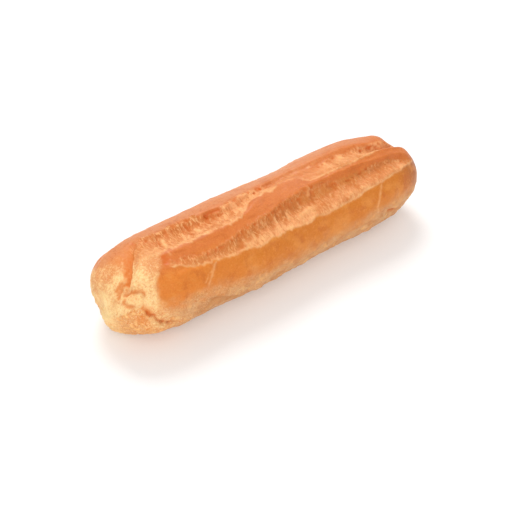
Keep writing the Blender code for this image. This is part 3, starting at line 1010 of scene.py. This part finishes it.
def torn_crumb():
    flames = (speckle(1.3, 2, ACROSS, bent) - 0.5) * 0.9
    tongues = (speckle(3.0, 2, (1, 0.35, 0.35), bent) - 0.5) * 1.2
    clouds = (speckle(4.5) - 0.5) * 0.9
    baked = mask("climb") + flames + tongues + (grit - 0.5) * 0.6 + clouds
    crumb = mix(CRUMB_PALE, CRUMB_TAN, ease(baked, 0.0, 0.4))
    crumb = mix(crumb, CRUMB_BROWN, ease(baked, 0.3, 0.85))
    crumb = mix(crumb, PALE_LIP, ease(fibres, 0.52, 0.7) * (near * 0.35 + 0.35))
    crumb = mix(crumb, CRUMB_DARK, ease(fibres, 0.48, 0.3) * (near * 0.5 + 0.25))
    threads = ease((speckle(1.7, 2, (1, 0.25, 0.25), bent) - 0.5).size(), 0.04, 0.01)
    return mix(crumb, PALE_LIP, threads * spots(3, 0.46, 0.56) * (near * 0.35 + 0.4))


crumb = torn_crumb()
print("nodes with the crumb:", len(tree.nodes))

# %% [markdown]
# ## The pale dough
# The near end is cream, speckled with rose where it faced the heat, the toe is tan with golden and
# rusty specks, and the foot is straw with brown patches. Low down near the tray the foot is painted
# paler: painted light bounced up from the floor. A crackle of tiny light grains runs over all three, as
# on dry choux. They are three colours and not one with tints, so that each can be matched by itself.

# %% Colour the cream, the toe and the foot
CREAM = (0.89, 0.60, 0.265, 1)
CREAM_ROSE = (0.68, 0.265, 0.083, 1)
CREAM_LIGHT = (0.93, 0.68, 0.38, 1)
TOE_TAN = (0.70, 0.31, 0.10, 1)
TOE_GOLD = (0.90, 0.50, 0.18, 1)
RUST_ORANGE = (0.66, 0.19, 0.032, 1)
FOOT_STRAW = (0.635, 0.33, 0.14, 1)
FOOT_BROWN = (0.52, 0.205, 0.065, 1)
# painted light: the paler colour of the foot's lowest millimetres, as light bounced up from the floor
FOOT_BOUNCE_LIGHT = (0.64, 0.385, 0.205, 1)


def creamy_dough():
    rosiness = mask("rosy")
    speckles = (speckle(0.7, 4) - 0.5) * 1.8 + (speckle(2.6, 3) - 0.5) * 1.3
    dough = mix(CREAM, CREAM_ROSE, ease(rosiness + speckles + 0.28, -0.1, 1.1))
    dough = mix(dough, CREAM_ROSE, spots(0.9, 0.38, 0.3, 2) * 0.5)
    dough = mix(dough, CREAM_ROSE, ease(crackle, 0.46, 0.34) * (0.3 + rosiness * 0.4))
    return mix(dough, CREAM_LIGHT, ease(crackle, 0.54, 0.68) * 0.5)


def tan_toe():
    dough = mix(TOE_TAN, TOE_GOLD, spots(1.6, 0.48, 0.65, 5) * 0.8)
    dough = mix(dough, RUST_ORANGE, spots(0.9, 0.48, 0.34, 5) * 0.7)
    return mix(dough, CREAM_LIGHT, ease(crackle, 0.52, 0.66) * 0.55)


def straw_foot():
    dough = mix(FOOT_STRAW, FOOT_BROWN, spots(3.5, 0.44, 0.62, 4) * 0.7)
    dough = mix(dough, FOOT_BROWN, ease(grain, 0.5, 0.3) * (near * 0.7 + 0.3))
    dough = mix(dough, CREAM_LIGHT, ease(crackle, 0.54, 0.7) * (near * 0.35 + 0.15))
    dough = mix(dough, TOE_GOLD, spots(2.4, 0.52, 0.68) * 0.4)
    # painted bounce light from the floor, on the lowest few millimetres of the foot
    return mix(dough, FOOT_BOUNCE_LIGHT, ease(height_above, 7 * MM, 2 * MM) * 0.6)


straw, creamy, tan = straw_foot(), creamy_dough(), tan_toe()
print("nodes with the dough:", len(tree.nodes))

# %% [markdown]
# ## Lay the finishes over each other
# The finishes go on like coats of paint, each where its mask says. The order matters: rust lies on
# cream, torn crumb breaks through all skin, and the gashes, darkened partly with painted shade, are
# darkest and come last. The bands of rust and brown are speckled, so that they don't look printed.

# %% Join the colours
HIGHLIGHT_YELLOW = (0.93, 0.69, 0.32, 1)
TUCKED_BROWN = (0.54, 0.225, 0.068, 1)  # of dough in the shade of a tuck
# the red-brown of the gashes, which also carries painted shade
GASH_BROWN_AND_SHADE = (0.60, 0.125, 0.012, 1)
# angles as shares of 180 degrees: the band on the upper wall of the front furrow where painted light lifts
# the shade
LIFT_ANGLE, LIFT_OUTSIDE, LIFT_INSIDE = 59 / 180, 9 / 180, 3 / 180


def joined_colour():
    colour = mix(skin, straw, mask("foot"))
    colour = mix(colour, creamy, mask("cream"))
    colour = mix(colour, tan, mask("toe"))
    # the painted highlight along the rim of the near end
    colour = mix(colour, HIGHLIGHT_YELLOW, mask("rim_highlight") * (0.25 + speckle(1.1, 4) * 0.6))
    colour = mix(colour, TUCKED_BROWN, mask("tucked") * (0.55 + speckle(0.8, 4) * 0.5))
    colour = mix(colour, RUST_ORANGE, mask("rust") * (0.58 + speckle(1.1, 4) * 0.75))
    colour = mix(colour, crumb, mask("torn"))
    upper_wall = ease((turn - LIFT_ANGLE).size(), LIFT_OUTSIDE, LIFT_INSIDE)
    shade_lift = along_from(6, 16) * along_from(48, 34) * upper_wall
    # painted light: gold mixed in lifts the shade on the upper wall of the front furrow's far half
    colour = mix(colour, GOLD, shade_lift * 0.25)
    colour = mix(colour, PALE_LIP, mask("pale") * 0.85)
    # painted shade in the gashes, pits, bays and folds, over the crust's own red-brown
    return mix(colour, GASH_BROWN_AND_SHADE, mask("dark"))


tree.links.new(joined_colour().output, shader.inputs["Base Color"])
print("nodes with the colours joined:", len(tree.nodes))

# %% [markdown]
# ## Sheen, grain and glow
# The skin is satin, and crumb and dough are matt, so the roughness follows their masks. A fine bump
# adds the grit that is too small to model. Light enters baked dough a little way and comes out warmer,
# which is subsurface scattering, deepest in red.

# %% Finish the shader
SATIN, MATT_MORE, UNEVEN = 0.45, 0.3, 0.15
BUMP_STRENGTH, BUMP_HEIGHT = 0.6, 0.35 * MM
SPECULAR = 0.3
GLOW, GLOW_REACH = 0.1, (1.6, 0.7, 0.3)  # share of scattered light, and how far red, green and blue go

matt = ease(mask("torn") + mask("cream") * 0.6 + mask("foot") * 0.6, 0, 1)
roughness = SATIN + matt * MATT_MORE + (speckle(1.2) - 0.5) * UNEVEN
tree.links.new(roughness.output, shader.inputs["Roughness"])
height = grit * (0.4 + matt * 0.6) + fibres * mask("torn") * 1.1
bump_inputs = {"Strength": BUMP_STRENGTH, "Distance": BUMP_HEIGHT, "Height": height}
bump = start.node("ShaderNodeBump", None, bump_inputs)
tree.links.new(bump.output, shader.inputs["Normal"])
shader.inputs["Specular IOR Level"].default_value = SPECULAR
shader.inputs["Subsurface Weight"].default_value = GLOW
shader.inputs["Subsurface Radius"].default_value = GLOW_REACH
shader.inputs["Subsurface Scale"].default_value = MM
shell.data.materials.clear()
shell.data.materials.append(material)
print("nodes of the crust:", len(tree.nodes))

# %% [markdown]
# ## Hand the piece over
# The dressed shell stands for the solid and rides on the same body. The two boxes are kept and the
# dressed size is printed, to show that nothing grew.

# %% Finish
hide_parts("eclair")
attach(shell, "root")
boxes = {"cad": [list(corner) for corner in cad_box], "visual": [list(corner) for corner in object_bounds()]}
print("dressed size", [round((b - a) / MM, 2) for a, b in zip(*boxes["visual"])], "mm")
